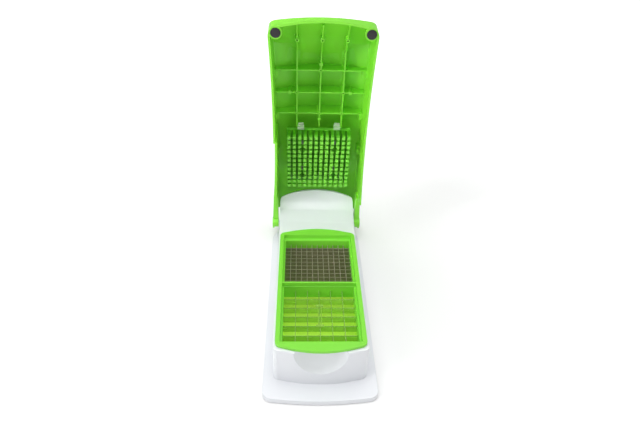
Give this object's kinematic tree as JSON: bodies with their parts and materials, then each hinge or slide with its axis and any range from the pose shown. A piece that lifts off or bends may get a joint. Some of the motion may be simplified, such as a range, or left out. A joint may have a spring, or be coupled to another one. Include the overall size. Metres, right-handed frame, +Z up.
{
  "type": "vegetable dicer",
  "caption": "Hand press vegetable dicer with a two-cell blade insert, a catch tray in a white base and a ribbed green press lid with a pin pusher on a rear hinge.",
  "frame": {"origin": "on the table plane, on the symmetry plane, under the middle of the bounding box of the whole object standing with its lid open; the middle of the blade insert lies 32.4 mm in front of it", "axes": "+Z up, +Y towards the hinge at the rear, +X to the user's right"},
  "size_m": [0.1084, 0.284, 0.2909],
  "materials": {
    "white_plastic": "glossy moulded white plastic",
    "lime_plastic": "lime moulded plastic",
    "insert_plastic": "bright green moulded plastic",
    "lid_plastic": "green moulded plastic with a soft gloss",
    "pusher_plastic": "green moulded plastic",
    "clip_plastic": "off-white plastic",
    "blade_steel": "polished stainless strip",
    "screw_steel": "plated steel",
    "black_rubber": "matt black rubber"
  },
  "bodies": {
    "base": {"base_housing": "white_plastic", "catch_tray": "lime_plastic", "insert_frame": "insert_plastic", "fine_blades_cross": "blade_steel", "fine_blades_lengthwise": "blade_steel", "coarse_blades_cross": "blade_steel", "coarse_blades_lengthwise": "blade_steel", "blade_tie": "lime_plastic", "hinge_pin_left": "white_plastic", "hinge_pin_right": "white_plastic", "front_left_foot": "black_rubber", "front_right_foot": "black_rubber", "rear_left_foot": "black_rubber", "rear_right_foot": "black_rubber"},
    "lid": {"lid_shell": "lid_plastic", "pusher_plate": "pusher_plastic", "pusher_screws": "screw_steel", "pusher_clip_left": "clip_plastic", "pusher_clip_right": "clip_plastic", "lid_bumper_left": "black_rubber", "lid_bumper_right": "black_rubber"}
  },
  "joints": [
    {"name": "lid_hinge", "type": "hinge", "parent": "base", "child": "lid", "pos_m": [0, 0.09258, 0.034], "axis": [1, 0, 0], "range_deg": [-6, 84.5]}
  ]
}
